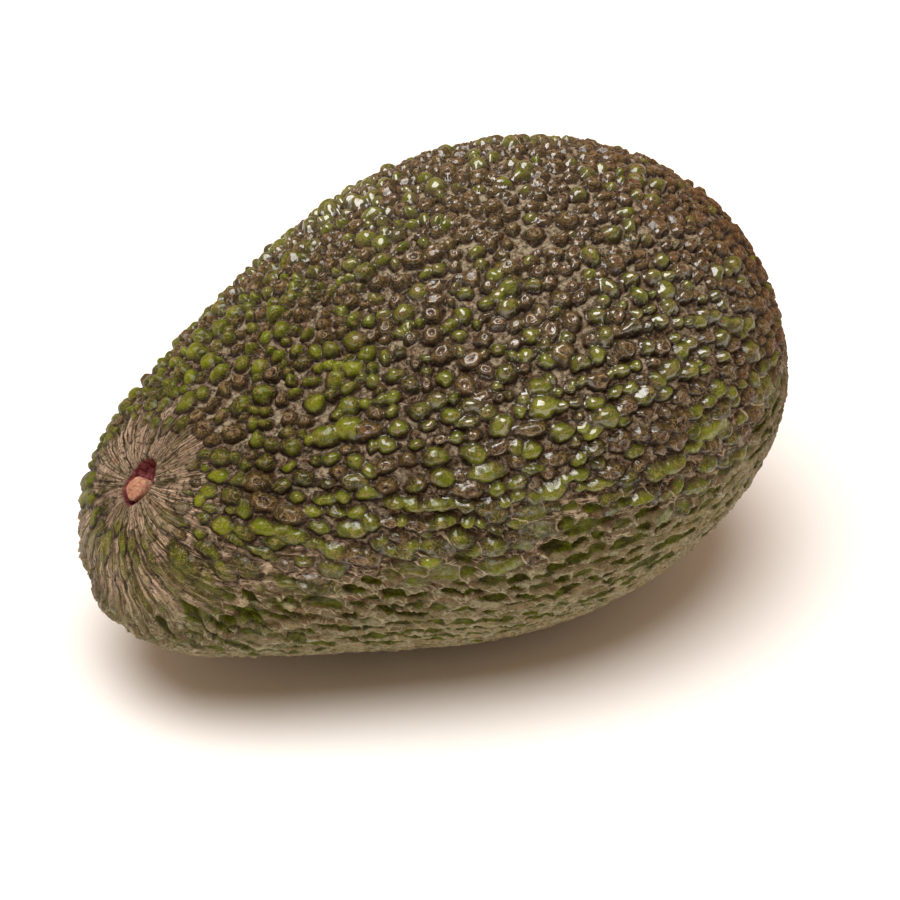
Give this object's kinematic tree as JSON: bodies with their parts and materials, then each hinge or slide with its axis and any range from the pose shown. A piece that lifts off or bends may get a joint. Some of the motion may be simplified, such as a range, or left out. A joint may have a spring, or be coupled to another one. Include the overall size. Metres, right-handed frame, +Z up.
{
  "type": "avocado",
  "caption": "Whole ripe avocado with a dark green pebbled skin, lying on its side, with a torn stem stub in the pit at its neck end.",
  "frame": {"origin": "centre of the small flat spot that the fruit rests on", "axes": "+X along the fruit from the stem end towards the blossom end, +Z up from the surface it lies on"},
  "size_m": [0.1051, 0.0733, 0.065],
  "materials": {
    "skin": "pebbled waxy skin, semi-gloss",
    "stem": "torn dry fibres, matt"
  },
  "bodies": {
    "root": {"fruit": "skin", "stem_stub": "stem"}
  },
  "joints": []
}
